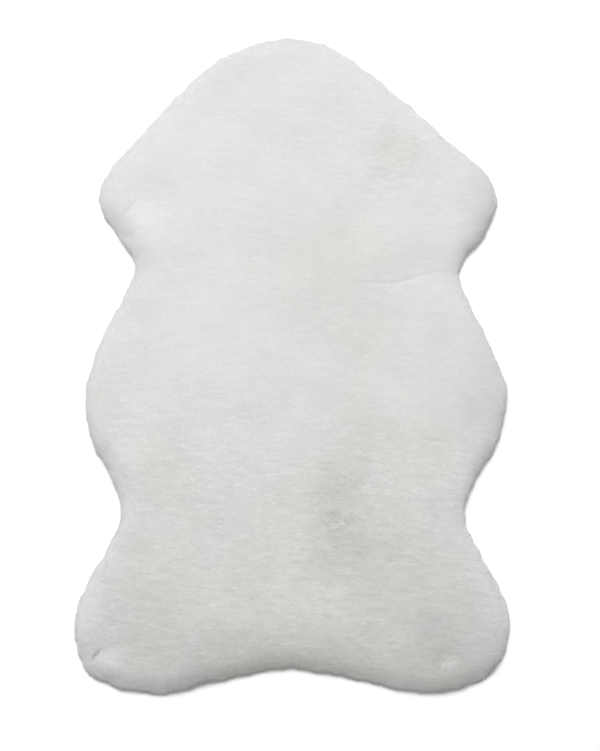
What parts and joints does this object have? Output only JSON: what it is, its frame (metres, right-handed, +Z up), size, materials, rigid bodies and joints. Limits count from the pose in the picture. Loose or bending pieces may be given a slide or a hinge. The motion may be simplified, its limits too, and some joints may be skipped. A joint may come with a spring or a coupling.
{
  "type": "shag rug",
  "caption": "Small pelt-shaped shag rug, one flat lumpy mat of dense short white pile with an uneven rim of locks.",
  "frame": {"origin": "on the floor under the middle of the mat's bounding box", "axes": "+Z up out of the pile, +Y along the length towards the nose end, +X across the width"},
  "size_m": [0.603, 0.9046, 0.0301],
  "materials": {
    "pile": "dense soft off-white short shag pile, matt with a faint sheen",
    "ground_cloth": "plain off-white knitted ground that the pile stands in"
  },
  "bodies": {
    "root": {"pile_mat": "pile"}
  },
  "joints": []
}
